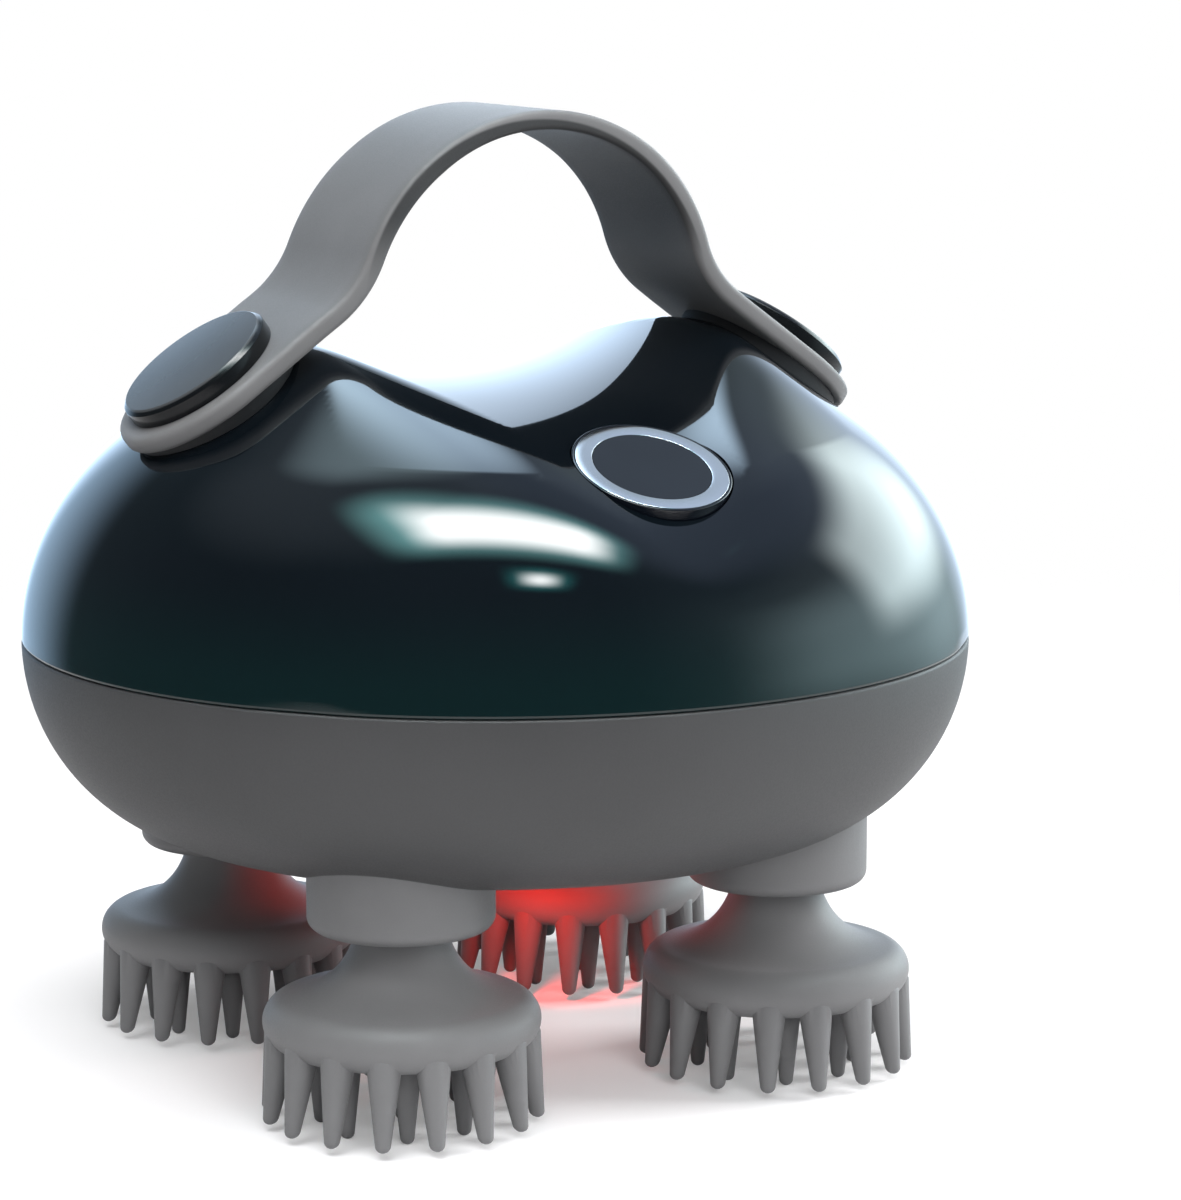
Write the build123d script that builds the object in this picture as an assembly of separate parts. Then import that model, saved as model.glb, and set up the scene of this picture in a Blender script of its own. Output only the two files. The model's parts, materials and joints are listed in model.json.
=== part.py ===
from build123d import *
from math import acos, asin, atan, atan2, cos, degrees, pi, radians, sin, sqrt, tan
import os

# Electric scalp massager: a glossy saddle-topped dome on a round bowl, a
# silicone strap handle bridging the saddle, and four bristle heads that turn
# on spindles driven by one central gear.
#
# Millimetres. +Z up, the origin on the table under the middle of the body.
# -Y is the front, with the push button; +Y is the back, with the charging
# port; the strap runs along X.

os.makedirs("parts", exist_ok=True)

# ---------------------------------------------------------------- body sizes
body_r = 62.0            # widest radius, at the seam between the two shells
seam_z = 56.0            # height of the seam above the table
wall = 2.0               # moulded wall of both shells
dome_core = 20.0         # radius about which the dome's elliptic flank turns
dome_rise = 36.0         # height of that flank above the seam
shoulder_deg = 36.0      # slope of the straight shoulders under the strap lugs
bowl_core = 38.0         # radius of the bowl's flat bottom
bowl_drop = 25.5         # depth of the bowl below the seam

# ------------------------------------------------------------------- saddle
saddle_height = 34.2     # lowest line of the saddle above the seam, mid-body
saddle_past = 1.0        # where the saddle's elliptic run ends, outside the body's front
saddle_fall = 32.0       # how far that run would fall by its end
saddle_r = 75.0          # hollow radius across the saddle, along X
crest_round = 5.0        # rounding of the crest where saddle and dome meet
cutter_half_x = 46.0     # half width of the tool that hollows the saddle
cutter_height = 30.0
cutter_over = 4.0        # how far any cutting tool runs past what it cuts
cutter_end_deg = 8.0     # where the saddle's run stops, past the dome's flank

# -------------------------------------------------------------------- strap
strap_t = 2.5            # thickness of the silicone band
strap_top = 68.4         # outside of the band's top above the seam
arch_in = 16.1           # distance of the arch's inside from the stud, along X
foot_r = 16.0            # inside radius of the bend into the lug
lug_r = 12.7             # round end of the band, and half its width
lug_in = 22.6            # distance of the stud, on the shell, inside the body's widest line
seat_t = 0.7             # pad under the lug, at its middle
seat_r = 11.8
cap_r = 10.4
cap_t = 2.5
cap_edge = 0.6
stud_r = 3.6
stud_gap = 0.2           # clearance of the stud in its holes
nut_r = 7.0
nut_t = 1.8
nut_gap = 0.5            # clearance of the flat nut below the curved wall

# ------------------------------------------------------------------- button
button_in = 20.0         # distance of the button's middle behind the body's front
button_r = 10.0
button_gap = 0.2
button_proud = 0.6
button_flange_r = 11.3
button_flange_t = 1.0
button_flange_drop = 3.4 # top of the flange below the shell's outside
button_travel = 0.8
ring_out_r = 9.65
ring_in_r = 7.45
ring_t = 0.4
button_stem_r = 2.0
button_stem = 1.5
button_cavity_r = 8.6
button_skin = 1.4
boss_gap = 0.5           # clearance between flange and guide boss
boss_t = 1.4
plunger_r = 1.7
running_gap = 0.05       # radial clearance of every running fit
switch_side = 6.2
switch_t = 3.5
switch_throw = 0.4       # depth left under the pressed plunger
plunger_out = 1.5        # plunger that stands out of its switch at rest
plunger_in = 1.2
small_board_t = 1.2

# ----------------------------------------------------- heads and their sockets
gear_module = 1.5
drive_teeth = 36
output_teeth = 15
cup_r = 11.75            # outside of each socket on the bowl
cup_z = 24.9             # height of the socket's mouth
cup_edge = 1.6
cup_wall = 2.0
neck_r = 5.6
neck_gap = 0.6
web_z = 33.0             # underside of the web that carries the bush
web_t = 2.0
head_r = 17.4            # widest radius of a head
head_rim = 3.1           # rounding of its brow, and height of its bevelled underside
brow_deg = 83.6          # how far the brow turns before the flare begins
head_z = 13.2            # height of the widest line
flare_rise = 10.1        # height of the hollow flare between disc and neck
head_top = 29.6
hub_r = 4.6
hub_gap = 0.05
hub_floor = 15.5
hub_top = 30.0
drive_side = 5.0         # square drive on the spindle
drive_gap = 0.1
drive_tip = 21.0
collar_r = 5.5
collar_t = 1.2
collar_gap = 0.4
spindle_r = 3.0
bush_r = 5.0
bush_len = 6.8
bush_boss_r = 7.0
seal_r = 9.5
seal_t = 1.2

outer_bristles = 16
inner_bristles = 8
bristle_sides = 6
outer_base_r = 2.3
outer_tip_r = 1.0
outer_tip_z = 0.9
outer_tip_ring_r = 17.0  # the outer fingers splay a little past the rim
inner_base_r = 2.1
inner_tip_r = 0.9
inner_ring_r = 10.2
bristle_root = 12.0      # height at which the bristles grow out of the disc

# ---------------------------------------------------------------- gear train
pressure_deg = 20.0
backlash = 0.16          # slack at the pitch circle, per mesh
root_depth = 1.25        # dedendum, in modules
gear_face = 5.0
gear_z = 41.0            # underside of the output gears
first_module = 0.8
first_teeth = 48
pinion_teeth = 16
first_face = 4.0
first_gap = 0.5          # height between the two rims of the drive gear
hub_wall = 3.0
axle_r = 2.0
axle_head_r = 3.5
axle_head_t = 0.8
axle_play = 0.2
plate_z = 52.5           # underside of the gear plate
plate_t = 2.0
plate_in = 9.0           # distance of the plate's edge inside the body's widest line
post_in = 6.0            # distance of the plate's posts inside its edge
post_r = 3.5
screw_r = 1.3
screw_head_r = 2.75
screw_head_t = 2.0
screw_len = 10.0

# ------------------------------------------------------- motor, cell, boards
motor_r = 12.0
motor_len = 22.0
endbell_r = 9.0
endbell_t = 2.0
shaft_r = 1.0
shaft_hole_r = 3.0
cell_x, cell_y, cell_z = 50.0, 26.0, 9.0
cell_edge = 2.2
cell_in = 13.0           # distance of the cell's side inside the plate's edge
tray_t = 1.0
tray_h = 6.0
tray_gap = 0.3
board_t = 1.6
board_x = 42.0
board_motor_gap = 2.4
board_port_gap = 3.4     # back edge of the board behind the charging socket's mouth
board_lift = 4.8         # height of the main board above the gear plate
pillar_x = 14.0
pillar_in = 4.0          # distance of the board's pillars from its front edge
pillar_r = 2.5

# -------------------------------------------------------------- charging port
port_w = 8.94            # USB-C receptacle, outside of its shell
port_h = 3.26
port_skin = 0.3
port_len = 8.0
port_back = 0.6          # mouth of the socket behind the recess's floor
port_gap = 0.27
tongue_w = 6.7
tongue_t = 0.7
tongue_back = 1.0        # tip of the tongue behind the socket's mouth
recess_w = 14.4
recess_h = 7.6
recess_depth = 4.0       # of the recess that holds the cover, from the body's widest line
recess_corner = 1.6
hinge_corner = 0.4       # corners beside the cover's roll, small enough for it to swing
port_boss_t = 2.2        # boss behind the recess's floor
port_boss_rim = 1.0      # boss around the recess, inside the wall
cover_t = 1.4
cover_gap = 0.2

# ------------------------------------------------------------- light and seam
lens_r = 10.0
lens_gap = 0.1
lens_out = 0.4           # lens standing out of the bowl's bottom
lens_t = 1.2
lens_flange_r = 12.0
lens_flange_t = 0.8
led_board_r = 13.0
led_side = 2.8
led_t = 0.8
led_circle_r = 4.6
led_count = 4
joint_ring_t = 2.0
joint_ring_h = 3.2
joint_ring_gap = 0.25

# ---------------------------------------------------------- worked-out places
slope = radians(shoulder_deg)
head_circle_r = gear_module * (drive_teeth + output_teeth) / 2
head_xy = head_circle_r / sqrt(2)
corners = {"fl": (-1, -1), "fr": (1, -1), "bl": (-1, 1), "br": (1, 1)}
sides = {"left": -1, "right": 1}
gear_top = gear_z + gear_face
first_z = gear_top + first_gap
motor_y = first_module * (first_teeth + pinion_teeth) / 2
plate_top = plate_z + plate_t
board_z = plate_top + board_lift
port_z = board_z + board_t + port_h / 2
saddle_reach = body_r + saddle_past
button_y = body_r - button_in
lug_x = body_r - lug_in
arch_r = lug_x - arch_in
plate_r = body_r - plate_in
post_x = plate_r - post_in
cell_mid_y = cell_in + cell_y / 2 - plate_r
recess_y = body_r - recess_depth
port_front_y = recess_y - port_back
board_front_y = motor_y + motor_r + board_motor_gap
board_back_y = port_front_y - board_port_gap
recess_low, recess_high = port_z - recess_h / 2, port_z + recess_h / 2
cover_axis_y = recess_y + cover_gap + cover_t / 2
cover_axis_z = recess_low + cover_gap + cover_t / 2
switch_top = -(button_flange_drop + button_flange_t + button_stem + plunger_out)
switch_floor = switch_top - switch_t
bowl_floor = seam_z - bowl_drop
boss_r = button_flange_r + boss_gap + boss_t


def dome_size(inset):
    """Half axes of the dome's flank and the shoulder's distance from the axis point."""
    a = body_r - dome_core - inset
    b = dome_rise - inset
    reach = sqrt((a * sin(slope)) ** 2 + (b * cos(slope)) ** 2)
    return a, b, reach


def shoulder_line(inset=0.0):
    """Distance of the shoulder line from the middle of the seam, square to the slope."""
    return dome_core * sin(slope) + dome_size(inset)[2]


def revolved(outline):
    """A solid of revolution from a closed outline in the XZ plane."""
    return revolve(make_face(outline), axis=Axis.Z, revolution_arc=360)


def cylinder(radius, low, high):
    return Pos(0, 0, low) * Cylinder(radius, high - low, align=(Align.CENTER, Align.CENTER, Align.MIN))


def tube(outside, inside, low, high):
    return cylinder(outside, low, high) - cylinder(inside, low, high)


def block(x, y, z):
    """A box from (low, high) pairs."""
    size = [high - low for low, high in (x, y, z)]
    low_corner = [low for low, _ in (x, y, z)]
    return Pos(*low_corner) * Box(*size, align=(Align.MIN, Align.MIN, Align.MIN))


def save(name, solid, place=None):
    """Write one sub-part, moved to its place, as its own STEP file."""
    moved = solid if place is None else place * solid
    solids = list(moved.solids())
    whole = solids[0] if len(solids) == 1 else Compound(children=solids)
    export_step(whole, f"parts/{name}.step")


# ----------------------------------------------------------------- shell forms
def dome(inset):
    """The dome above the seam, shrunk by inset: elliptic flank, straight shoulder."""
    a, b, reach = dome_size(inset)
    touch_deg = degrees(atan2(b * cos(slope), a * sin(slope)))
    flank = EllipticalCenterArc((dome_core, 0), a, b, start_angle=0, arc_size=touch_deg)
    peak = (shoulder_line(inset) - dome_core / 2 * sin(slope)) / cos(slope)
    roof = Polyline(flank @ 1, (dome_core / 2, peak), (0, peak), (0, 0), (body_r - inset, 0))
    outline = Plane.XZ * Wire([flank, *roof.edges()])
    return Pos(0, 0, seam_z) * revolved(outline)


def saddle_tool(inset):
    """Everything above the saddle: its hollow section swept over the body, front to back."""
    run_z = seam_z + saddle_height - saddle_fall
    run = Plane.YZ * EllipticalCenterArc(
        (0, run_z), saddle_reach - inset, saddle_fall - inset,
        start_angle=cutter_end_deg, arc_size=180 - 2 * cutter_end_deg,
    )
    start = Plane(origin=run @ 0, x_dir=(1, 0, 0), z_dir=run % 0)
    outward = -1 if start.y_dir.Z < 0 else 1
    hollow = Circle(saddle_r + inset)
    band = Pos(0, -outward * (saddle_r + inset - cutter_height / 2)) * Rectangle(
        2 * cutter_half_x, cutter_height)
    section = start * Pos(0, outward * (saddle_r + inset)) * (hollow & band)
    return sweep(section, path=run)


def dome_outside():
    """The upper shell's outer form with its crest rounded."""
    sharp = dome(0) - saddle_tool(0)
    crest_low = seam_z + saddle_height / 3
    crest = [e for e in sharp.edges() if e.center().Z > crest_low and e.bounding_box().size.Y > body_r / 2]
    return fillet(crest, crest_round)


def bowl(inset):
    """The bowl below the seam, shrunk by inset."""
    flank = EllipticalCenterArc(
        (bowl_core, 0), body_r - bowl_core - inset, bowl_drop - inset, start_angle=270, arc_size=90)
    rest = Polyline(flank @ 1, (0, 0), (0, -(bowl_drop - inset)), flank @ 0)
    return Pos(0, 0, seam_z) * revolved(Plane.XZ * Wire([flank, *rest.edges()]))


# ------------------------------------------------------------- shared planes
def shoulder_plane(side):
    """On the shell under a lug, z outward along the stud, x downhill."""
    height = (shoulder_line() - lug_x * sin(slope)) / cos(slope)
    return Plane(
        origin=(side * lug_x, 0, seam_z + height),
        x_dir=(side * cos(slope), 0, -sin(slope)), z_dir=(side * sin(slope), 0, cos(slope)),
    )


def button_plane():
    """On the saddle under the button, z outward along its travel."""
    level = sqrt(1 - (button_y / saddle_reach) ** 2)
    height = saddle_height - saddle_fall * (1 - level)
    tilt = atan(saddle_fall * button_y / (saddle_reach ** 2 * level))
    return Plane(
        origin=(0, -button_y, seam_z + height), x_dir=(1, 0, 0), z_dir=(0, -sin(tilt), cos(tilt)))


# --------------------------------------------------------------------- shells
def upper_shell(outside):
    shell = outside - (dome(wall) - saddle_tool(wall))
    plane = button_plane()
    boss = plane * tube(boss_r, boss_r - boss_t, switch_floor, 0)
    port_boss_x = recess_w / 2 + port_boss_rim
    port_boss = block(
        (-port_boss_x, port_boss_x), (recess_y - port_boss_t, body_r),
        (recess_low - port_boss_rim, recess_high + port_boss_rim))
    shell += (boss & outside) + (port_boss & outside)
    shell -= plane * cylinder(button_r + button_gap, -cutter_over, cutter_over)
    for side in sides.values():
        shell -= shoulder_plane(side) * cylinder(stud_r + stud_gap, -cutter_over, cutter_over)
    recess = fillet(Rectangle(recess_w, recess_h).vertices().group_by(Axis.Y)[-1], recess_corner)
    recess = fillet(recess.vertices().group_by(Axis.Y)[0], hinge_corner)
    shell -= Pos(0, recess_y, port_z) * extrude(Plane.XZ * recess, -cutter_over)
    hole = SlotOverall(port_w + 2 * port_gap, port_h + 2 * port_gap)
    shell -= Pos(0, recess_y, port_z) * extrude(Plane.XZ * hole, cutter_over)
    return shell


def lower_shell():
    shell = bowl(0) - bowl(wall)
    cup_top = web_z + web_t
    cup = cylinder(cup_r, cup_z, cup_top)
    cup = fillet(cup.edges().sort_by(Axis.Z)[0], cup_edge)
    cup += cylinder(bush_boss_r, cup_top, web_z + bush_len)
    bore = cylinder(neck_r + neck_gap, cup_z - cup_wall, web_z)
    bore += cylinder(cup_r - cup_wall, cup_z + cup_wall, web_z)
    bore += cylinder(bush_r + hub_gap, web_z, web_z + bush_len)
    for x, y in corners.values():
        shell += Pos(x * head_xy, y * head_xy, 0) * cup
    for x, y in corners.values():
        shell -= Pos(x * head_xy, y * head_xy, 0) * bore
    post = cylinder(post_r, bowl_floor + wall, plate_z)
    for place in post_places():
        shell += (place * post) & bowl(wall / 2)
        shell -= place * cylinder(screw_r + running_gap, plate_top - screw_len - screw_r, plate_z)
    shell -= cylinder(lens_r + lens_gap, bowl_floor - cutter_over, bowl_floor + cutter_over)
    return shell


def post_places():
    return [Rot(0, 0, 90 * quarter) * Pos(post_x, 0, 0) for quarter in range(4)]


def joint_ring():
    """The ring inside the seam that lines the two shells up."""
    outside = body_r - wall - joint_ring_gap
    return tube(outside, outside - joint_ring_t, seam_z - joint_ring_h / 2, seam_z + joint_ring_h / 2)


# ---------------------------------------------------------------------- strap
def strap_line(lift):
    """Half of the band's side outline, lifted off its inside: arch, bend, lug."""
    arch_z = strap_top - strap_t - arch_r
    lug_line = shoulder_line() + seat_t
    span = arch_r + foot_r
    turn = asin((lug_line + foot_r - arch_z * cos(slope)) / span) - slope
    bend = (span * cos(turn), arch_z + span * sin(turn))

    def on_arch(angle):
        return ((arch_r + lift) * cos(angle), arch_z + (arch_r + lift) * sin(angle))

    def on_bend(angle):
        return (bend[0] + (foot_r - lift) * cos(angle), bend[1] + (foot_r - lift) * sin(angle))

    bend_end = 3 * pi / 2 - slope
    arch = ThreePointArc(on_arch(pi / 2), on_arch((pi / 2 + turn) / 2), on_arch(turn))
    foot = ThreePointArc(on_bend(pi + turn), on_bend((pi + turn + bend_end) / 2), on_bend(bend_end))
    end_x = lug_x + (lug_line - shoulder_line() + lift) * sin(slope) + lug_r * cos(slope)
    end = (end_x, (lug_line + lift - end_x * sin(slope)) / cos(slope))
    return [arch, foot, Line(foot @ 1, end)]


def strap():
    inside = strap_line(0)
    outside = strap_line(strap_t)
    closing = [Line(inside[-1] @ 1, outside[-1] @ 1), Line(inside[0] @ 0, outside[0] @ 0)]
    half = make_face(Plane.XZ * Wire([*inside, *outside, *closing]))
    band = Pos(0, 0, seam_z) * extrude(half, lug_r, both=True)
    plane = shoulder_plane(1)
    high = strap_t + seat_t + cutter_over
    end = block((0, lug_r + cutter_over), (-lug_r - cutter_over, lug_r + cutter_over), (0, high))
    band -= plane * (end - cylinder(lug_r, 0, high))
    band -= plane * cylinder(stud_r + stud_gap, 0, high)
    return band + mirror(band, about=Plane.YZ)


def strap_seat(side, outside):
    """The pad that fills the wedge between the flat lug and the round shoulder."""
    pad = tube(seat_r, stud_r + stud_gap, -2 * wall, seat_t)
    return shoulder_plane(side) * pad - outside


def strap_cap():
    top = seat_t + strap_t + cap_t
    disc = cylinder(cap_r, seat_t + strap_t, top)
    disc = chamfer(disc.edges().sort_by(Axis.Z)[-1], cap_edge)
    return disc + cylinder(stud_r, -(wall + nut_gap + nut_t), seat_t + strap_t)


def strap_nut():
    return tube(nut_r, stud_r + running_gap, -(wall + nut_gap + nut_t), -(wall + nut_gap))


# --------------------------------------------------------------------- button
def button_cap():
    flange_top = -button_flange_drop
    flange_low = flange_top - button_flange_t
    cap = cylinder(button_r, flange_top, button_proud) + cylinder(button_flange_r, flange_low, flange_top)
    cap -= tube(ring_out_r, ring_in_r, button_proud - ring_t, button_proud)
    cap -= cylinder(button_cavity_r, flange_low, button_proud - button_skin)
    stem_low = flange_low - button_stem
    return cap + cylinder(button_stem_r, stem_low, button_proud - button_skin)


def button_ring():
    return tube(ring_out_r - running_gap, ring_in_r + running_gap, button_proud - ring_t, button_proud)


def switch_plunger():
    return cylinder(plunger_r, switch_top - plunger_in, switch_top + plunger_out)


def tact_switch():
    half = switch_side / 2
    body = block((-half, half), (-half, half), (switch_floor, switch_top))
    depth = plunger_in + button_travel + switch_throw
    return body - cylinder(plunger_r + running_gap, switch_top - depth, switch_top)


def button_board():
    return cylinder(boss_r, switch_floor - small_board_t, switch_floor)


# ---------------------------------------------------------------------- heads
def head_body():
    """Silicone disc and neck: rounded brow, hollow flare, blind bore for the hub."""
    rim_x = head_r - head_rim
    underside = head_z - head_rim

    def on_brow(degrees_up):
        angle = radians(degrees_up)
        return (rim_x + head_rim * cos(angle), head_z + head_rim * sin(angle))

    brow = ThreePointArc(on_brow(0), on_brow(brow_deg / 2), on_brow(brow_deg))
    neck_foot = (neck_r, on_brow(brow_deg)[1] + flare_rise)
    flare = TangentArc(neck_foot, on_brow(brow_deg), tangent=(0, -1))
    rest = Polyline(
        neck_foot, (neck_r, head_top), (0, head_top), (0, underside), (rim_x, underside), on_brow(0))
    body = revolved(Plane.XZ * Wire([brow, flare, *rest.edges()]))
    return body - cylinder(hub_r + hub_gap, hub_floor, head_top)


def bristle(base_r, tip_r, tip_z, lean):
    """One tapered finger, pointing down from the disc and leaning along +X."""
    root = Pos(0, 0, bristle_root) * RegularPolygon(base_r, bristle_sides)
    tip = Pos(lean, 0, tip_z) * RegularPolygon(tip_r, bristle_sides)
    return loft([tip, root], ruled=True)


def head():
    body = head_body()
    ring_r = head_r - outer_base_r
    outer = bristle(outer_base_r, outer_tip_r, outer_tip_z, outer_tip_ring_r - ring_r)
    for index in range(outer_bristles):
        body += Rot(0, 0, 360 * (index + 0.5) / outer_bristles) * Pos(ring_r, 0, 0) * outer
    inner = bristle(inner_base_r, inner_tip_r, 0, 0)
    for index in range(inner_bristles):
        body += Rot(0, 0, 360 * (index + 0.5) / inner_bristles) * Pos(inner_ring_r, 0, 0) * inner
    return body + inner


def head_hub():
    """Hard core of a head, with the square socket for the spindle."""
    side = drive_side + 2 * drive_gap
    hub = cylinder(hub_r, hub_floor, hub_top)
    return hub - block((-side / 2, side / 2), (-side / 2, side / 2), (drive_tip - drive_gap, hub_top))


def spindle():
    half = drive_side / 2
    collar_top = web_z - seal_t - collar_gap
    drive = block((-half, half), (-half, half), (drive_tip, collar_top))
    collar = cylinder(collar_r, collar_top - collar_t, collar_top)
    return drive + collar + cylinder(spindle_r, collar_top, gear_top + axle_play)


def spindle_bush():
    return tube(bush_r, spindle_r + running_gap, web_z, web_z + bush_len)


def spindle_seal():
    return tube(seal_r, spindle_r + running_gap, web_z - seal_t, web_z)


# ---------------------------------------------------------------------- gears
def involute(angle):
    return tan(angle) - angle


def spur_gear(module, teeth, face, bore_r, first_tooth_deg):
    """A spur gear: involute flanks as arcs through three of their points."""
    pitch_r = module * teeth / 2
    base_r = pitch_r * cos(radians(pressure_deg))
    tip_r = pitch_r + module
    root_r = pitch_r - root_depth * module
    start_r = max(base_r, root_r)
    half_tooth = pi / (2 * teeth) - backlash / (4 * pitch_r) + involute(radians(pressure_deg))

    def flank_point(radius, middle, hand):
        angle = middle + hand * (half_tooth - involute(acos(min(1.0, base_r / radius))))
        return (radius * cos(angle), radius * sin(angle))

    def root_point(middle, hand):
        angle = middle + hand * half_tooth
        return (root_r * cos(angle), root_r * sin(angle))

    pitch_angle = 2 * pi / teeth
    middle_r = (start_r + tip_r) / 2
    edges = []
    for index in range(teeth):
        middle = radians(first_tooth_deg) + index * pitch_angle
        rise = [flank_point(radius, middle, -1) for radius in (start_r, middle_r, tip_r)]
        fall = [flank_point(radius, middle, 1) for radius in (tip_r, middle_r, start_r)]
        edges.append(ThreePointArc(*rise))
        edges.append(Line(rise[-1], fall[0]))
        edges.append(ThreePointArc(*fall))
        last = fall[-1]
        following = middle + pitch_angle
        begin = flank_point(start_r, following, -1)
        if root_r < base_r:
            low, high = root_point(middle, 1), root_point(following, -1)
            edges += [Line(last, low), Line(low, high), Line(high, begin)]
        else:
            edges.append(Line(last, begin))
    blank = extrude(make_face(Wire(edges)), face)
    return blank - cylinder(bore_r, 0, face)


def drive_gear():
    """The central gear: a wide rim for the four output gears, a fine rim for the pinion."""
    bore = axle_r + running_gap
    wide = Pos(0, 0, gear_z) * spur_gear(
        gear_module, drive_teeth, gear_face, bore, 180 / drive_teeth)
    fine = Pos(0, 0, first_z) * spur_gear(first_module, first_teeth, first_face, bore, 0)
    hub = tube(axle_r + hub_wall, bore, gear_z - axle_play, plate_z - axle_play)
    return wide + fine + hub


def output_gear(facing_deg):
    """One of the four output gears; facing_deg is the direction of the central gear."""
    bore = spindle_r + running_gap
    gap = facing_deg + 180 / output_teeth
    return spur_gear(gear_module, output_teeth, gear_face, bore, gap)


def motor_pinion():
    bore = shaft_r + running_gap
    return spur_gear(first_module, pinion_teeth, first_face, bore, 270 + 180 / pinion_teeth)


def drive_axle():
    head_low = gear_z - 2 * axle_play - axle_head_t
    return cylinder(axle_head_r, head_low, head_low + axle_head_t) + cylinder(axle_r, head_low, plate_top)


def gear_plate():
    plate = cylinder(plate_r, plate_z, plate_top)
    plate -= cylinder(axle_r, plate_z, plate_top)
    plate -= Pos(0, motor_y, 0) * cylinder(shaft_hole_r, plate_z, plate_top)
    for place in post_places():
        plate -= place * cylinder(screw_r + running_gap, plate_z, plate_top)
    for x in (-pillar_x, pillar_x):
        plate += Pos(x, board_front_y + pillar_in, 0) * cylinder(pillar_r, plate_top, board_z)
    return plate


def plate_screw():
    shank = cylinder(screw_r, plate_top - screw_len, plate_top)
    return shank + cylinder(screw_head_r, plate_top, plate_top + screw_head_t)


# ------------------------------------------------------- motor, cell, boards
def motor_can():
    return tube(motor_r, shaft_r + running_gap, plate_top, plate_top + motor_len)


def motor_endbell():
    low = plate_top + motor_len
    return cylinder(endbell_r, low, low + endbell_t)


def motor_shaft():
    return cylinder(shaft_r, first_z, plate_top + motor_len - axle_play)


def cell():
    low = plate_top + tray_t + tray_gap
    body = block((-cell_x / 2, cell_x / 2), (-cell_y / 2, cell_y / 2), (low, low + cell_z))
    return fillet(body.edges().filter_by(Axis.X), cell_edge)


def cell_tray():
    x, y = cell_x / 2 + tray_gap, cell_y / 2 + tray_gap
    tray = block((-x - tray_t, x + tray_t), (-y - tray_t, y + tray_t), (plate_top, plate_top + tray_h))
    return tray - block((-x, x), (-y, y), (plate_top + tray_t, plate_top + tray_h))


def main_board():
    return block((-board_x / 2, board_x / 2), (board_front_y, board_back_y), (board_z, board_z + board_t))


# -------------------------------------------------------------- charging port
def port_oval(inset, length):
    """The socket's outline, shrunk by inset, from its mouth backwards."""
    return extrude(Plane.XZ * SlotOverall(port_w - 2 * inset, port_h - 2 * inset), length)


def usb_socket():
    """The charging socket: an oval sleeve, closed at the back, with a tongue."""
    sleeve = port_oval(0, port_len) - port_oval(port_skin, port_len - port_skin)
    tongue = block(
        (-tongue_w / 2, tongue_w / 2), (port_skin - port_len, -tongue_back), (-tongue_t / 2, tongue_t / 2))
    return Pos(0, port_front_y, port_z) * (sleeve + tongue)


def port_cover():
    """A flat silicone flap whose lower edge is rolled about its hinge line."""
    half = recess_w / 2 - cover_gap
    high = recess_high - cover_gap
    flap = block(
        (-half, half), (cover_axis_y - cover_t / 2, cover_axis_y + cover_t / 2), (cover_axis_z, high))
    top = flap.edges().filter_by(Axis.Y).group_by(Axis.Z)[-1]
    flap = fillet(top, recess_corner - cover_gap)
    roll = Pos(0, cover_axis_y, cover_axis_z) * Rot(0, 90, 0) * Cylinder(
        cover_t / 2, 2 * (half - hinge_corner))
    return flap + roll


# ------------------------------------------------------------------- lighting
def led_lens():
    low = bowl_floor - lens_out
    seat = bowl_floor + wall
    lens = cylinder(lens_r, low, seat) + cylinder(lens_flange_r, seat, seat + lens_flange_t)
    return lens - cylinder(lens_r - lens_t, low + lens_t, seat + lens_flange_t)


def led_board():
    low = bowl_floor + wall + lens_flange_t + lens_gap
    board = cylinder(led_board_r, low, low + small_board_t)
    half = led_side / 2
    chip = block((-half, half), (-half, half), (low - led_t, low))
    for index in range(led_count):
        board += Rot(0, 0, 360 * index / led_count) * Pos(led_circle_r, 0, 0) * chip
    return board


# ------------------------------------------------------------------- assembly
outside = dome_outside()
save("upper_shell", upper_shell(outside))
save("lower_shell", lower_shell())
save("joint_ring", joint_ring())

save("strap", strap())
for name, side in sides.items():
    save(f"strap_seat_{name}", strap_seat(side, outside))
    save(f"strap_cap_{name}", strap_cap(), shoulder_plane(side).location)
    save(f"strap_nut_{name}", strap_nut(), shoulder_plane(side).location)

button_place = button_plane().location
save("button_cap", button_cap(), button_place)
save("button_ring", button_ring(), button_place)
save("switch_plunger", switch_plunger(), button_place)
save("tact_switch", tact_switch(), button_place)
save("button_board", button_board(), button_place)

one_head = head()
for name, (x, y) in corners.items():
    place = Pos(x * head_xy, y * head_xy, 0)
    facing = degrees(atan2(-y, -x))
    save(f"head_{name}", one_head, place)
    save(f"head_hub_{name}", head_hub(), place)
    save(f"spindle_{name}", spindle(), place)
    save(f"spindle_bush_{name}", spindle_bush(), place)
    save(f"spindle_seal_{name}", spindle_seal(), place)
    save(f"output_gear_{name}", output_gear(facing), Pos(x * head_xy, y * head_xy, gear_z))

save("drive_gear", drive_gear())
save("drive_axle", drive_axle())
save("gear_plate", gear_plate())
for number, place in enumerate(post_places(), start=1):
    save(f"plate_screw_{number}", plate_screw(), place)

save("motor_can", motor_can(), Pos(0, motor_y, 0))
save("motor_endbell", motor_endbell(), Pos(0, motor_y, 0))
save("motor_shaft", motor_shaft(), Pos(0, motor_y, 0))
save("motor_pinion", motor_pinion(), Pos(0, motor_y, first_z))
save("cell", cell(), Pos(0, cell_mid_y, 0))
save("cell_tray", cell_tray(), Pos(0, cell_mid_y, 0))
save("main_board", main_board())
save("usb_socket", usb_socket())
save("port_cover", port_cover())
save("led_lens", led_lens())
save("led_board", led_board())
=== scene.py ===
import json
from math import asin, atan, atan2, cos, hypot, pi, radians, sin, sqrt, tan

import bmesh
import bpy
import numpy as np
from mathutils import Matrix, Vector


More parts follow.
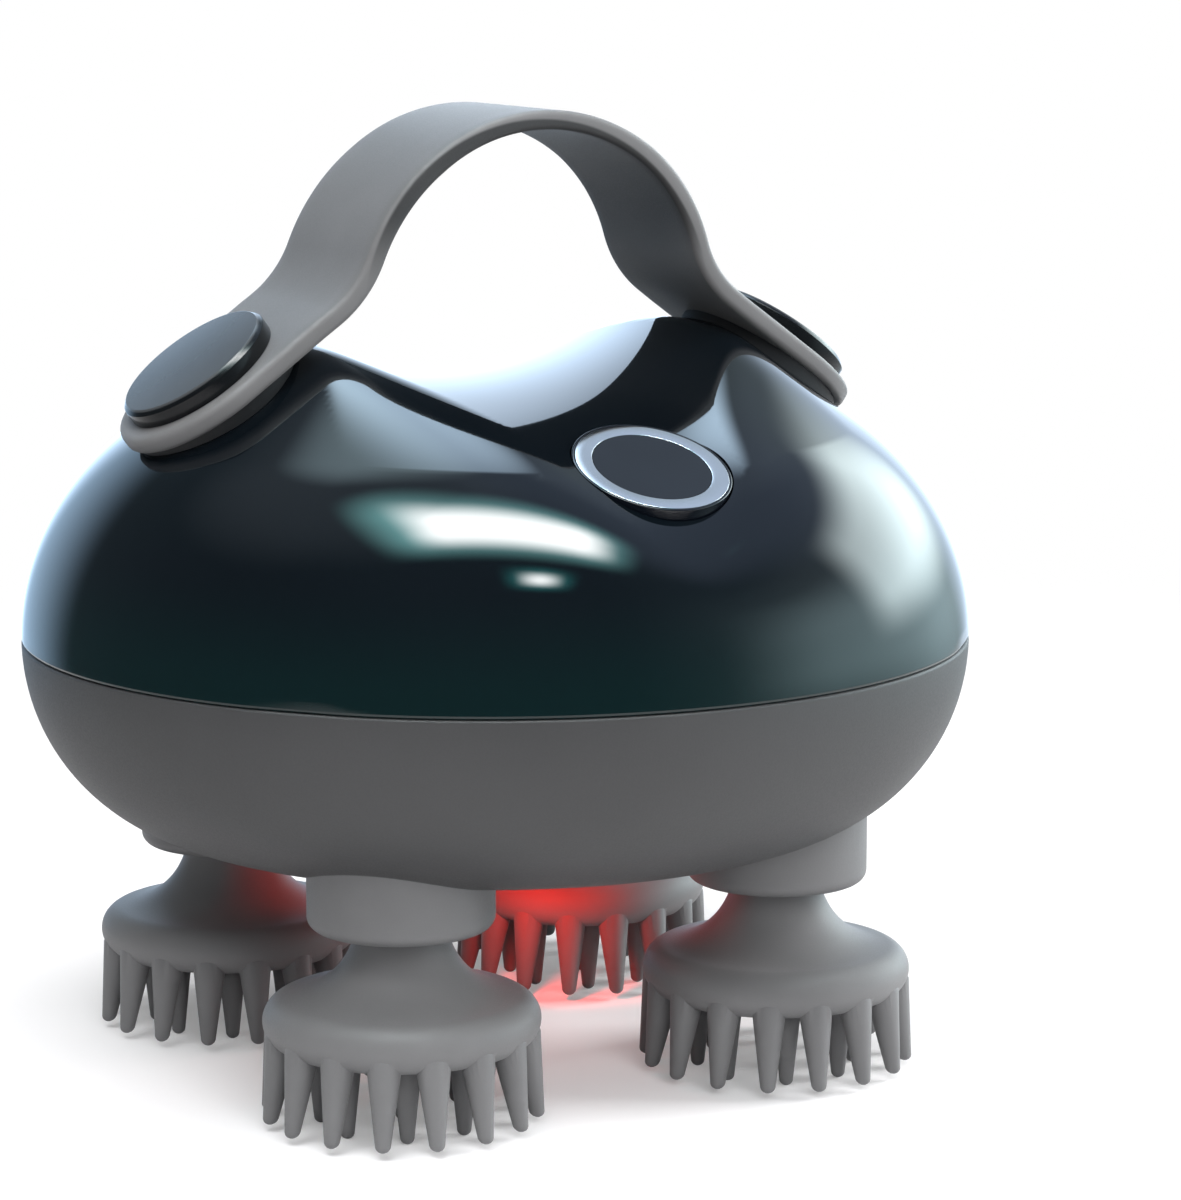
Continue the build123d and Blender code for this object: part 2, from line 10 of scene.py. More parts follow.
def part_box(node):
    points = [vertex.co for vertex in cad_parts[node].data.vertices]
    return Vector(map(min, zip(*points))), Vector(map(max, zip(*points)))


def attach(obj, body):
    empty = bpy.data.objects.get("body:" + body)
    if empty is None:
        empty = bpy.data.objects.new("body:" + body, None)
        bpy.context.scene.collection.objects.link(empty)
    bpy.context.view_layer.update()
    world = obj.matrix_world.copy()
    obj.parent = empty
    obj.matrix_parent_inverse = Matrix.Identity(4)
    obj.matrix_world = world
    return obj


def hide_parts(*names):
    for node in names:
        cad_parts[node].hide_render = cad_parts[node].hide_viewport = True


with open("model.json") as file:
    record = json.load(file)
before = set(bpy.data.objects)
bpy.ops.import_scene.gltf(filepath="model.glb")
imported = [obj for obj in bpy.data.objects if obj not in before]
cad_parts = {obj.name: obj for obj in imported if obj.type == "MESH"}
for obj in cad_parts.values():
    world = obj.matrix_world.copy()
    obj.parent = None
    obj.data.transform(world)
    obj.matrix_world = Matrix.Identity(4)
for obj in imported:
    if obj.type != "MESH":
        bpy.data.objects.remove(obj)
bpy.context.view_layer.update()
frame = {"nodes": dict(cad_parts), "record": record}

# Electric scalp massager: the visible skins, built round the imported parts.
# Lengths here are millimetres, and become metres as each mesh is made.

MM = 0.001

# ------------------------------------------------- sizes, as in the parts
body_r = 62.0
seam_z = 56.0
wall = 2.0
dome_core = 20.0
dome_rise = 36.0
slope = radians(36.0)
bowl_core = 38.0
bowl_drop = 25.5
saddle_height = 34.2
saddle_reach = 63.0
saddle_fall = 32.0
saddle_r = 75.0
crest_round = 5.0

strap_t = 2.5
strap_top = 68.4
arch_r = 23.3
foot_r = 16.0
lug_r = 12.7
lug_x = 39.4
seat_t = 0.7
seat_r = 11.8
cap_r = 10.4
cap_t = 2.5
stud_r = 3.6
stud_gap = 0.2
stud_low = -4.3

button_y = 42.0
button_r = 10.0
button_hole_r = 10.2
button_top = 0.6
button_under = -0.8
button_cavity_r = 8.6
flange_r = 11.3
flange_top = -3.4
flange_low = -4.4
stem_r = 2.0
stem_low = -5.9
groove_z = 0.2
groove_in = 7.45
groove_out = 9.65
ring_gap = 0.05
switch_floor = -10.9
boss_r = 13.2
boss_t = 1.4
boss_top = -0.9

cup_r = 11.75
cup_z = 24.9
cup_edge = 1.6
cup_top = 35.0
bush_boss_r = 7.0
bush_boss_top = 39.8
bush_r = 5.05
web_z = 33.0
well_r = 9.75
well_z = 26.9
seal_in = 3.06
seal_out = 9.5
seal_t = 1.2
window_r = 10.1

head_xy = 27.0468
head_r = 17.4
head_z = 13.2
head_rim = 3.1
brow = radians(83.6)
flare_rise = 10.1
neck_r = 5.6
neck_gap = 0.6
neck_top = 29.6
hub_r = 4.65
hub_z = 15.5

port_z = 62.53
port_w = 9.48
port_h = 3.8
port_rim = 1.0
port_boss_t = 2.2
recess_y = 58.0
recess_w = 14.4
recess_h = 7.6
cover_hinge = 0.7
plate_z = 52.5
post_x = 47.0
post_r = 3.5
post_z = 32.0
screw_r = 1.35
screw_z = 43.2

# ------------------------------------------- forms that only the skins have
crest_fade = 30.0       # growth of the crest's rounding away from the strap
fade_from = 8.0         # distance from the strap's middle line at which it starts
fade_over = 34.0        # and over which it grows
arch_lean = 1.2         # shift of the soft arch to the right
lean_from = 42.0        # height over the seam at which it starts
lean_over = 20.0

corners = {"fl": (-1, -1), "fr": (1, -1), "bl": (-1, 1), "br": (1, 1)}
sides = {"left": -1, "right": 1}


# ---------------------------------------------------------------- materials
def srgb(red, green, blue):
    """A screen colour, 0 to 255, as the linear colour that a shader takes."""
    def linear(value):
        value /= 255
        return value / 12.92 if value < 0.04045 else ((value + 0.055) / 1.055) ** 2.4
    return (linear(red), linear(green), linear(blue), 1.0)


class Nodes:
    """Short ways to add the nodes of one tree."""

    def __init__(self, tree):
        self.tree = tree
        tree.nodes.clear()

    def add(self, kind, **settings):
        node = self.tree.nodes.new(kind)
        for name, value in settings.items():
            setattr(node, name, value)
        return node

    def put(self, socket, value):
        if isinstance(value, bpy.types.NodeSocket):
            self.tree.links.new(value, socket)
        else:
            socket.default_value = value

    def end(self, kind, shader):
        self.put(self.add(kind).inputs["Surface"], shader)

    def math(self, operation, *values):
        node = self.add("ShaderNodeMath", operation=operation)
        for socket, value in zip(node.inputs, values):
            self.put(socket, value)
        return node.outputs[0]

    def plus(self, one, two):
        return self.math("ADD", one, two)

    def minus(self, one, two):
        return self.math("SUBTRACT", one, two)

    def times(self, one, two):
        return self.math("MULTIPLY", one, two)

    def size(self, value):
        return self.math("ABSOLUTE", value)

    def reach(self, one, two):
        return self.math("SQRT", self.plus(self.times(one, one), self.times(two, two)))

    def ease(self, value, low, high, to_low=0.0, to_high=1.0):
        node = self.add("ShaderNodeMapRange", interpolation_type="SMOOTHSTEP")
        for socket, given in zip(node.inputs, (value, low, high, to_low, to_high)):
            self.put(socket, given)
        return node.outputs[0]

    def mix(self, factor, low, high):
        node = self.add("ShaderNodeMix", data_type="RGBA", blend_type="MIX")
        self.put(node.inputs[0], factor)
        self.put(node.inputs[6], low)
        self.put(node.inputs[7], high)
        return node.outputs[2]

    def place(self):
        return self.add("ShaderNodeTexCoord").outputs["Object"]

    def parts(self, way):
        """The x, y and z of a vector."""
        split = self.add("ShaderNodeSeparateXYZ")
        self.put(split.inputs[0], way)
        return split.outputs

    def noise(self, size, detail=2.0):
        """Noise whose lumps are about size millimetres across."""
        node = self.add("ShaderNodeTexNoise")
        node.inputs["Scale"].default_value = 1 / (size * MM)
        node.inputs["Detail"].default_value = detail
        self.put(node.inputs["Vector"], self.place())
        return node.outputs["Fac"]

    def blotches(self, size, detail, low, high):
        """Two near colours in soft blotches."""
        return self.mix(self.ease(self.noise(size, detail), 0.3, 0.7), low, high)


def material(name, low, high, rough=(0.4, 0.5), blotch=12.0, grain=0.0, grain_size=0.3,
             detail=3.0, paint=None, glow=None, **sockets):
    """A moulded, turned or painted finish: two near colours in soft blotches, and a fine grain.

    paint(nodes, colour) returns the colour to use in place of the blotches alone, and glow is a
    pair of colours that the piece shines with.
    """
    made = bpy.data.materials.new(name)
    made.use_nodes = True
    n = Nodes(made.node_tree)
    shader = n.add("ShaderNodeBsdfPrincipled")
    colour = n.blotches(blotch, detail, low, high)
    n.put(shader.inputs["Base Color"], paint(n, colour) if paint else colour)
    fine = n.noise(grain_size)
    n.put(shader.inputs["Roughness"], n.ease(fine, 0.25, 0.75, *rough))
    if glow:
        n.put(shader.inputs["Emission Color"], n.mix(n.noise(4.0), *glow))
    for socket, value in sockets.items():
        shader.inputs[socket.replace("_", " ")].default_value = value
    if grain:
        bump = n.add("ShaderNodeBump")
        bump.inputs["Strength"].default_value = grain
        bump.inputs["Distance"].default_value = 0.1 * MM
        n.put(bump.inputs["Height"], fine)
        n.put(shader.inputs["Normal"], bump.outputs[0])
    n.end("ShaderNodeOutputMaterial", shader.outputs[0])
    return made


def shell_paint(n, gloss):
    """Greener towards the seam."""
    low = n.ease(n.parts(n.place())[2], 0.056, 0.072, 1.0, 0.0)
    return n.mix(low, gloss, srgb(6, 25, 26))


def cap_sheen_paint(n, side):
    """Painted sheen: the face of a strap cap a lighter grey than its black side, standing in for
    light shining on it.
    """
    x, _, z = n.parts(n.place())
    height = n.plus(n.times(n.size(x), sin(slope)), n.times(z, cos(slope)))
    face = (shoulder_line() + seam_z * cos(slope) + seat_t + strap_t + cap_t) * MM
    # Painted sheen: this grey on the cap's face stands in for light shining on the black plastic.
    painted_sheen = n.blotches(14.0, 2.0, srgb(66, 68, 70), srgb(72, 74, 76))
    return n.mix(n.ease(height, face - 0.30 * MM, face - 0.08 * MM), side, painted_sheen)


def socket_light_paint(n, bowl):
    """Painted light: the four sockets a shade lighter than the bowl, standing in for the light that
    falls on them.
    """
    x, y, z = n.parts(n.place())
    away = [n.minus(n.size(part), head_xy * MM) for part in (x, y)]
    near = n.times(n.ease(n.reach(*away), (cup_r + 0.4) * MM, (cup_r + 0.1) * MM),
                   n.ease(z, 0.040, 0.036))
    # Painted light: the lighter grey stands in for light on the sockets.
    return n.mix(near, bowl, n.blotches(12.0, 3.0, srgb(100, 100, 101), srgb(106, 106, 107)))


def silicone_shade_paint(n, open_side):
    """Painted shade: darker under the arch of the strap, standing in for the shade on its inner
    face.
    """
    x, _, z = n.parts(n.place())
    rise = n.minus(z, (seam_z + strap_top - strap_t - arch_r) * MM)
    under = n.times(n.ease(n.reach(x, rise), (arch_r + 1.6) * MM, (arch_r + 1.2) * MM),
                    n.ease(rise, 0.003, 0.014))
    # Painted shade: this darker grey stands in for the shade under the arch.
    return n.mix(under, open_side, n.blotches(14.0, 3.0, srgb(51, 51, 52), srgb(55, 55, 56)))


def shoulder_line():
    """Distance of the straight shoulder from the middle of the seam, square to the shoulder."""
    return dome_core * sin(slope) + hypot((body_r - dome_core) * sin(slope), dome_rise * cos(slope))


# Each finish: two colours, roughness from and to, size of the blotches, and what is special to it.
finish_table = {
    "shell_gloss": (srgb(6, 11, 16), srgb(9, 15, 20), (0.03, 0.06), 45.0,
                    dict(detail=2.0, paint=shell_paint, IOR=1.5)),
    # The bowl, with painted light on its sockets.
    "shell_matte": (srgb(57, 57, 58), srgb(61, 61, 62), (0.50, 0.60), 30.0,
                    dict(grain=0.12, grain_size=0.25, paint=socket_light_paint)),
    # The strap and heads, with painted shade under the strap's arch.
    "silicone": (srgb(104, 104, 105), srgb(110, 110, 111), (0.50, 0.62), 14.0,
                 dict(grain=0.10, grain_size=0.2, paint=silicone_shade_paint, Sheen_Weight=0.08,
                      Sheen_Roughness=0.5)),
    "silicone_dark": (srgb(30, 31, 33), srgb(36, 37, 39), (0.5, 0.6), 8.0,
                      dict(grain=0.1, grain_size=0.2)),
    # Strap caps: black, with a painted sheen of light on their faces.
    "cap_grey": (srgb(12, 13, 15), srgb(16, 18, 20), (0.16, 0.24), 9.0,
                 dict(detail=2.0, paint=cap_sheen_paint, Specular_IOR_Level=0.25)),
    "plastic_black": (srgb(18, 18, 20), srgb(24, 24, 26), (0.3, 0.4), 6.0, dict(grain=0.1)),
    "button_black": (srgb(10, 13, 20), srgb(13, 17, 24), (0.04, 0.07), 12.0, {}),
    "ring_silver": (srgb(232, 233, 236), srgb(238, 239, 242), (0.08, 0.11), 6.0,
                    dict(Metallic=1.0)),
    "steel": (srgb(180, 182, 186), srgb(160, 163, 168), (0.2, 0.35), 4.0, dict(Metallic=1.0)),
    "bronze": (srgb(150, 110, 70), srgb(170, 125, 82), (0.35, 0.45), 3.0,
               dict(grain=0.1, Metallic=1.0)),
    "brass": (srgb(205, 170, 95), srgb(190, 150, 80), (0.22, 0.35), 3.0, dict(Metallic=1.0)),
    "gear_white": (srgb(222, 220, 212), srgb(232, 230, 224), (0.4, 0.5), 8.0, dict(grain=0.05)),
    "plastic_grey": (srgb(120, 122, 125), srgb(132, 134, 137), (0.4, 0.5), 8.0, dict(grain=0.1)),
    "motor_can": (srgb(170, 172, 175), srgb(150, 152, 156), (0.25, 0.4), 5.0,
                  dict(Metallic=1.0)),
    "cell_wrap": (srgb(38, 92, 150), srgb(46, 104, 165), (0.2, 0.3), 10.0, {}),
    "board_green": (srgb(18, 78, 48), srgb(24, 92, 58), (0.3, 0.45), 4.0,
                    dict(grain=0.1, grain_size=0.4)),
    "lens_red": (srgb(150, 12, 12), srgb(190, 20, 18), (0.25, 0.35), 3.0,
                 dict(glow=((1.0, 0.02, 0.01, 1.0), (1.0, 0.08, 0.04, 1.0)),
                      Emission_Strength=1.2)),
}
finishes = {}
for finish, (low, high, rough, blotch, special) in finish_table.items():
    finishes[finish] = material(finish, low, high, rough, blotch, **special)


# ------------------------------------------------------------ mesh building
def solid(name, points, faces):
    """An object from points in millimetres, with its faces turned outwards."""
    mesh = bpy.data.meshes.new(name)
    mesh.from_pydata((np.asarray(points, float) * MM).tolist(), [], faces)
    work = bmesh.new()
    work.from_mesh(mesh)
    bmesh.ops.remove_doubles(work, verts=work.verts, dist=1e-7)
    bmesh.ops.dissolve_degenerate(work, edges=work.edges, dist=1e-8)
    bmesh.ops.recalc_face_normals(work, faces=work.faces)
    work.to_mesh(mesh)
    work.free()
    made = bpy.data.objects.new(name, mesh)
    bpy.context.scene.collection.objects.link(made)
    return made


def skin(name, rings):
    """A closed solid through rings of points; a ring of one point ends it on the axis."""
    points, index = [], []
    for ring in rings:
        ring = np.atleast_2d(ring)
        index.append(list(range(len(points), len(points) + len(ring))))
        points += ring.tolist()
    faces = []
    for one, two in zip(index, index[1:] + index[:1]):
        count = max(len(one), len(two))
        if count == 1:
            continue
        for i in range(count):
            j = (i + 1) % count
            near = [one[i], one[j]] if len(one) > 1 else one
            far = [two[j], two[i]] if len(two) > 1 else two
            faces.append(near + far)
    return solid(name, points, faces)


def circle(segments):
    return np.linspace(0, 2 * pi, segments, endpoint=False)


def lathe(name, outline, segments=96):
    """A solid turned about Z from a closed outline of (radius, height) points."""
    turn = circle(segments)
    rings = []
    for radius, height in outline:
        if radius < 1e-9:
            rings.append([[0.0, 0.0, height]])
        else:
            rings.append(np.stack([radius * np.cos(turn), radius * np.sin(turn),
                                   0 * turn + height], 1))
    return skin(name, rings)


def rounded(corners_of, step=15.0):
    """A closed outline with its corners rounded: (x, y) or (x, y, radius) points."""
    out = []
    count = len(corners_of)
    for i, corner in enumerate(corners_of):
        here = Vector(corner[:2])
        radius = corner[2] if len(corner) > 2 else 0.0
        if not radius:
            out.append(tuple(here))
            continue
        back = (Vector(corners_of[i - 1][:2]) - here).normalized()
        ahead = (Vector(corners_of[(i + 1) % count][:2]) - here).normalized()
        half = back.angle(ahead) / 2
        middle = here + (back + ahead).normalized() * radius / sin(half)
        start = here + back * radius / tan(half) - middle
        turn = start.angle_signed(here + ahead * radius / tan(half) - middle)
        pieces = max(2, int(abs(turn) / radians(step)) + 1)
        for k in range(pieces + 1):
            angle = -turn * k / pieces
            out.append((middle.x + start.x * cos(angle) - start.y * sin(angle),
                        middle.y + start.x * sin(angle) + start.y * cos(angle)))
    return out


def prism(name, outline, low, high):
    """A solid along Y from an outline of (x, z) points."""
    front = [(x, low, z) for x, z in outline]
    back = [(x, high, z) for x, z in outline]
    count = len(outline)
    faces = [list(range(count)), list(range(2 * count - 1, count - 1, -1))]
    faces += [[i, i + count, (i + 1) % count + count, (i + 1) % count] for i in range(count)]
    return solid(name, front + back, faces)


def combine(target, tool, operation):
    """Cut, join or intersect target with tool, which is used up."""
    modifier = target.modifiers.new("combine", "BOOLEAN")
    modifier.operation = operation
    modifier.object = tool
    modifier.solver = "MANIFOLD"
    mesh = evaluated(target)
    if not mesh.polygons:
        modifier.solver = "EXACT"
        mesh = evaluated(target)
    target.modifiers.clear()
    target.data = mesh
    bpy.data.objects.remove(tool)


def drill(target, radius, low, high, place=Matrix(), segments=48):
    """A round hole along the z of a place."""
    hole = lathe("hole", [(0, low), (radius, low), (radius, high), (0, high)], segments)
    combine(target, placed(hole, place), "DIFFERENCE")


def evaluated(piece):
    bpy.context.view_layer.update()
    graph = bpy.context.evaluated_depsgraph_get()
    return bpy.data.meshes.new_from_object(piece.evaluated_get(graph))


def placed(piece, matrix):
    piece.data.transform(matrix)
    return piece


def shift(x, y, z):
    return Matrix.Translation((x * MM, y * MM, z * MM))


def at_head(corner):
    x, y = corner
    return shift(x * head_xy, y * head_xy, 0)


def shade(piece, angle=32.0):
    """Smooth faces, with sharp edges where the surface turns by more than angle."""
    mesh = piece.data
    mesh.shade_smooth()
    mesh.set_sharp_from_angle(angle=radians(angle))
    return piece


def fair(piece, field, tolerance=0.01):
    """Exact normals, from the form's own field, wherever a face lies on that form."""
    mesh = piece.data
    points = np.empty(len(mesh.vertices) * 3)
    mesh.vertices.foreach_get("co", points)
    points = points.reshape(-1, 3) / MM - (0, 0, seam_z)
    near = np.abs(field(*points.T)) < tolerance
    starts = np.empty(len(mesh.polygons), int)
    totals = np.empty(len(mesh.polygons), int)
    mesh.polygons.foreach_get("loop_start", starts)
    mesh.polygons.foreach_get("loop_total", totals)
    corner_point = np.empty(len(mesh.loops), int)
    mesh.loops.foreach_get("vertex_index", corner_point)
    normals = np.empty(len(mesh.loops) * 3)
    mesh.corner_normals.foreach_get("vector", normals)
    normals = normals.reshape(-1, 3)
    whole = np.logical_and.reduceat(near[corner_point], starts)
    on_form = np.repeat(whole, totals)
    exact = np.zeros((len(points), 3))
    exact[near] = slope_of(field, points[near])
    normals[on_form] = exact[corner_point[on_form]]
    mesh.normals_split_custom_set(normals.tolist())


def dress(piece, finish, body, *nodes):
    """Material, body and the parts that the piece stands for."""
    piece.data.materials.clear()
    piece.data.materials.append(finishes[finish])
    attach(piece, body)
    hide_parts(*nodes)


# -------------------------------------------------- the body's form, as fields
def to_ellipse(x, y, a, b):
    """Signed distance from an ellipse with half axes a and b."""
    x, y = np.abs(x), np.abs(y)
    u = np.full_like(x, sqrt(0.5))
    v = u.copy()
    for _ in range(5):
        centre_x = (a * a - b * b) * u ** 3 / a
        centre_y = (b * b - a * a) * v ** 3 / b
        reach = np.hypot(a * u - centre_x, b * v - centre_y)
        away_x, away_y = x - centre_x, y - centre_y
        away = np.hypot(away_x, away_y) + 1e-12
        u = np.clip((away_x * reach / away + centre_x) / a, 0, 1)
        v = np.clip((away_y * reach / away + centre_y) / b, 0, 1)
        size = np.hypot(u, v) + 1e-12
        u, v = u / size, v / size
    outside = np.sign((x / a) ** 2 + (y / b) ** 2 - 1)
    return outside * np.hypot(x - a * u, y - b * v)


def dome_field(x, y, z, inset=0.0):
    """Elliptic flank, then a straight shoulder past the point where it touches."""
    a, b = body_r - dome_core - inset, dome_rise - inset
    reach = hypot(a * sin(slope), b * cos(slope))
    out = np.hypot(x, y) - dome_core
    touch_x, touch_z = a * a * sin(slope) / reach, b * b * cos(slope) / reach
    past = (z - touch_z) * sin(slope) - (out - touch_x) * cos(slope) > 0
    shoulder = out * sin(slope) + z * cos(slope) - reach
    return np.where(past, shoulder, to_ellipse(out, z, a, b))


def saddle_field(x, y, z, inset=0.0):
    """A hollow of radius saddle_r, swept along an elliptic run over the body."""
    middle = saddle_height - saddle_fall
    run = to_ellipse(y, z - middle, saddle_reach - inset, saddle_fall - inset)
    radius = saddle_r + inset
    return radius - np.hypot(x, radius - run)


def body_field(x, y, z):
    """Dome cut by the saddle, its crest rounded by a ball that grows away from the strap."""
    away = np.clip((np.abs(y) - fade_from) / fade_over, 0, 1)
    ball = crest_round + crest_fade * away * away * (3 - 2 * away)
    one, two = dome_field(x, y, z), saddle_field(x, y, z)
    step = 0.05
    lean = 0.0
    for dx, dy, dz in np.eye(3) * step:
        moved = (x + dx, y + dy, z + dz)
        lean = lean + (dome_field(*moved) - one) * (saddle_field(*moved) - two)
    lean = np.clip(lean / step ** 2, -0.99, 0.995)
    u, v = one + ball, two + ball
    crest = (u > v * lean) & (v > u * lean)
    square = np.maximum(u * u + v * v - 2 * u * v * lean, 0)
    rolled = np.sqrt(square / (1 - lean ** 2)) - ball
    return np.where(crest, rolled, np.maximum(one, two))


def inner_field(x, y, z):
    return np.maximum(dome_field(x, y, z, wall), saddle_field(x, y, z, wall))


def bowl_field(x, y, z):
    out = np.hypot(x, y) - bowl_core
    round_part = to_ellipse(np.maximum(out, 0), z, body_r - bowl_core, bowl_drop)
    return np.where(out > 0, round_part, -z - bowl_drop)


def slope_of(field, points, step=0.02):
    """Unit normals of a field at points."""
    parts = []
    for offset in np.eye(3) * step:
        parts.append(field(*(points + offset).T) - field(*(points - offset).T))
    parts = np.stack(parts, 1)
    return parts / np.linalg.norm(parts, axis=1)[:, None]


def cast(field, starts, ways, near, far):
    """Distance from each start along its way to the form, by halving."""
    low = np.full(len(starts), near)
    high = np.full(len(starts), far)
    for _ in range(24):
        middle = (low + high) / 2
        inside = field(*(starts + ways * middle[:, None]).T) < 0
        low = np.where(inside, middle, low)
        high = np.where(inside, high, middle)
    return (low + high) / 2


def radial_rings(field, first, rows, columns):
    """Rings of points on a form, seen from the middle of the seam, from the seam up to the top."""
    turn = circle(columns)
    rings = []
    for rise in np.linspace(first, pi / 2, rows + 1):
        flat = np.full(columns, cos(rise))
        up = np.full(columns, sin(rise))
        ways = np.stack([flat * np.cos(turn), flat * np.sin(turn), up], 1)
        if rise > pi / 2 - 1e-6:
            ways = ways[:1]
        length = cast(field, np.zeros((len(ways), 3)), ways, 10.0, 80.0)
        rings.append(ways * length[:, None] + (0, 0, seam_z))
    return rings


# ----------------------------------------------------------- shared places
def frame_at(origin, x_way, z_way):
    y_way = z_way.cross(x_way)
    turned = Matrix((x_way, y_way, z_way)).transposed().to_4x4()
    return shift(*origin) @ turned


def shoulder_place(side):
    """On the shell under a lug: z outward along the stud, x downhill."""
    height = (shoulder_line() - lug_x * sin(slope)) / cos(slope)
    downhill = Vector((side * cos(slope), 0, -sin(slope)))
    outward = Vector((side * sin(slope), 0, cos(slope)))
    return frame_at((side * lug_x, 0, seam_z + height), downhill, outward)


def button_place():
    """On the saddle under the button: z outward along its travel."""
    level = sqrt(1 - (button_y / saddle_reach) ** 2)
    height = saddle_height - saddle_fall * (1 - level)
    tilt = atan(saddle_fall * button_y / (saddle_reach ** 2 * level))
    outward = Vector((0, -sin(tilt), cos(tilt)))
    return frame_at((0, -button_y, seam_z + height), Vector((1, 0, 0)), outward)


# ------------------------------------------------------------------- shells
def box_outline(margin, low_round=0.0, top_round=0.0):
    """The charging recess, wider all round by margin."""
    half = recess_w / 2 + margin
    low, high = port_z - recess_h / 2 - margin, port_z + recess_h / 2 + margin
    return rounded([(-half, low, low_round), (half, low, low_round),
                    (half, high, top_round), (-half, high, top_round)])


def slot_outline(width, height):
    half, radius = width / 2, height / 2
    bend = radius * 0.999
    ends = rounded([(-half, -radius, bend), (half, -radius, bend),
                    (half, radius, bend), (-half, radius, bend)])
    return [(x, z + port_z) for x, z in ends]


def upper_shell():
    columns, edge = 288, 0.5
    outer = radial_rings(body_field, asin(edge / body_r), 104, columns)
    inner = radial_rings(inner_field, 0.0, 30, columns)
    rim = []
    for angle in (22.5, 45.0, 67.5, 90.0):
        reach = (body_r - edge + edge * cos(radians(angle))) / body_r
        ring = outer[0] * (reach, reach, 1)
        ring[:, 2] = seam_z + edge - edge * sin(radians(angle))
        rim.append(ring)
    shell = skin("upper_shell_skin", inner[::-1] + rim[::-1] + outer)
    place = button_place()
    boss = lathe("boss", [(boss_r - boss_t, switch_floor), (boss_r, switch_floor),
                          (boss_r, boss_top), (boss_r - boss_t, boss_top)], 96)
    port_boss = prism("port_boss", box_outline(port_rim), recess_y - port_boss_t, body_r)
    for part in (placed(boss, place), port_boss):
        combine(part, skin("whole", [[[0, 0, seam_z]]] + outer), "INTERSECT")
        combine(shell, part, "UNION")
    drill(shell, button_hole_r, -4.0, 4.0, place, 160)
    for side in sides.values():
        drill(shell, stud_r + stud_gap, -4.0, 4.0, shoulder_place(side))
    recess = prism("recess", box_outline(0.0, 0.4, 1.6), recess_y, body_r + 4.0)
    combine(shell, recess, "DIFFERENCE")
    slot = prism("slot", slot_outline(port_w, port_h), recess_y - 4.0, recess_y + 1.0)
    combine(shell, slot, "DIFFERENCE")
    fair(shade(shell), body_field)
    dress(shell, "shell_gloss", "housing", "upper_shell")


def bowl_outline(inset, edge):
    a, b = body_r - bowl_core - inset, bowl_drop - inset
    out = [(0, seam_z - b)]
    for angle in np.linspace(-90, 0, 61):
        x, z = bowl_core + a * cos(radians(angle)), seam_z + b * sin(radians(angle))
        if z < seam_z - edge:
            out.append((x, z))
    for angle in (0.0, 30.0, 60.0, 90.0) if edge else (0.0,):
        out.append((body_r - inset - edge + edge * cos(radians(angle)),
                    seam_z - edge + edge * sin(radians(angle))))
    return out


def lower_shell():
    outline = bowl_outline(0.0, 0.4) + bowl_outline(wall, 0.0)[::-1]
    shell = lathe("lower_shell_skin", outline, 256)
    spots = [at_head(corner) for corner in corners.values()]
    cup = rounded([(0, cup_z), (cup_r, cup_z, cup_edge), (cup_r, cup_top),
                   (bush_boss_r, cup_top), (bush_boss_r, bush_boss_top), (0, bush_boss_top)], 10)
    mouth = neck_r + neck_gap
    bore = rounded([(0, 20.0), (mouth + 0.5, 20.0), (mouth + 0.5, cup_z), (mouth, cup_z + 0.5),
                    (mouth, well_z), (well_r, well_z), (well_r, web_z), (bush_r, web_z),
                    (bush_r, 41.0), (0, 41.0)])
    for spot in spots:
        combine(shell, placed(lathe("cup", cup, 96), spot), "UNION")
    posts = []
    for quarter in range(4):
        posts.append(Matrix.Rotation(quarter * pi / 2, 4, "Z") @ shift(post_x, 0, 0))
    for spot in posts:
        post = lathe("post", [(0, post_z), (post_r, post_z), (post_r, plate_z), (0, plate_z)], 48)
        inside = lathe("inside", bowl_outline(wall / 2, 0.0) + [(0, seam_z)], 128)
        combine(placed(post, spot), inside, "INTERSECT")
        combine(shell, post, "UNION")
    for spot in spots:
        combine(shell, placed(lathe("bore", bore, 96), spot), "DIFFERENCE")
    for spot in posts:
        drill(shell, screw_r, screw_z, plate_z + 1, spot, 32)
    drill(shell, window_r, 26.0, 34.0, segments=96)
    fair(shade(shell), bowl_field)
    dress(shell, "shell_matte", "housing", "lower_shell")


# -------------------------------------------------------------------- strap
def strap_line():
    """The band's middle line, from the top of the arch to the stud, by length along it.

    Returns a function that gives the place and the outward normal, and the length to the stud.
    """
    shoulder = shoulder_line()
    lug_line = shoulder + seat_t
    arch_z = strap_top - strap_t - arch_r
    span = arch_r + foot_r
    turn = asin((lug_line + foot_r - arch_z * cos(slope)) / span) - slope
    bend = (span * cos(turn), arch_z + span * sin(turn))
    arch_size, bend_size = arch_r + strap_t / 2, foot_r - strap_t / 2
    arch_length = arch_size * (pi / 2 - turn)
    bend_length = bend_size * (pi / 2 - slope - turn)
    bend_end = 3 * pi / 2 - slope
    foot = (bend[0] + bend_size * cos(bend_end), bend[1] + bend_size * sin(bend_end))
    lift = seat_t + strap_t / 2
    stud = (lug_x + lift * sin(slope),
            (shoulder - lug_x * sin(slope)) / cos(slope) + lift * cos(slope))
    lug_length = hypot(stud[0] - foot[0], stud[1] - foot[1])

    def at(length):
        side = -1.0 if length < 0 else 1.0
        length = abs(length)
        if length < arch_length:
            angle = pi / 2 - length / arch_size
            place = (arch_size * cos(angle), arch_z + arch_size * sin(angle))
            normal = (cos(angle), sin(angle))
        elif length < arch_length + bend_length:
            angle = pi + turn + (length - arch_length) / bend_size
            place = (bend[0] + bend_size * cos(angle), bend[1] + bend_size * sin(angle))
            normal = (-cos(angle), -sin(angle))
        else:
            more = length - arch_length - bend_length
            place = (foot[0] + more * cos(slope), foot[1] - more * sin(slope))
            normal = (sin(slope), cos(slope))
        return side * place[0], place[1], side * normal[0], normal[1]

    return at, arch_length + bend_length + lug_length


